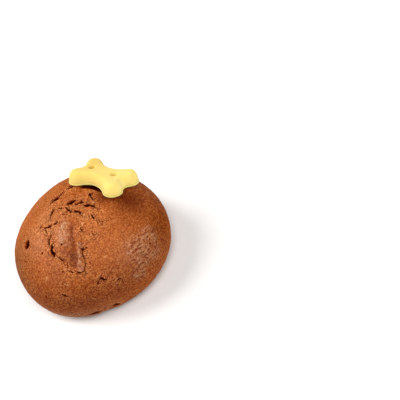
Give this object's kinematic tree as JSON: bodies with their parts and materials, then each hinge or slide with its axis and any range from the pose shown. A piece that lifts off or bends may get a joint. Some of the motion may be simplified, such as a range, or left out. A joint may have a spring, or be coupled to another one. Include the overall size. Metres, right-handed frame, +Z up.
{
  "type": "iced dog muffin",
  "caption": "Round domed muffin for dogs, flat underneath, with a fine crackled brown crust and a small yellow bone-shaped biscuit lying on one shoulder.",
  "frame": {"origin": "middle of the flat foot, on the surface that the muffin stands on", "axes": "+Z up through the dome, -Y towards the side that the picture was taken from, +X to that side's right"},
  "size_m": [0.0716, 0.0719, 0.0399],
  "materials": {
    "muffin_crust": "baked brown crust, fine pores, dull with a faint sheen",
    "yellow_biscuit": "pale yellow biscuit, fine dry grain, matt"
  },
  "bodies": {
    "root": {"muffin": "muffin_crust", "bone_biscuit": "yellow_biscuit"}
  },
  "joints": []
}
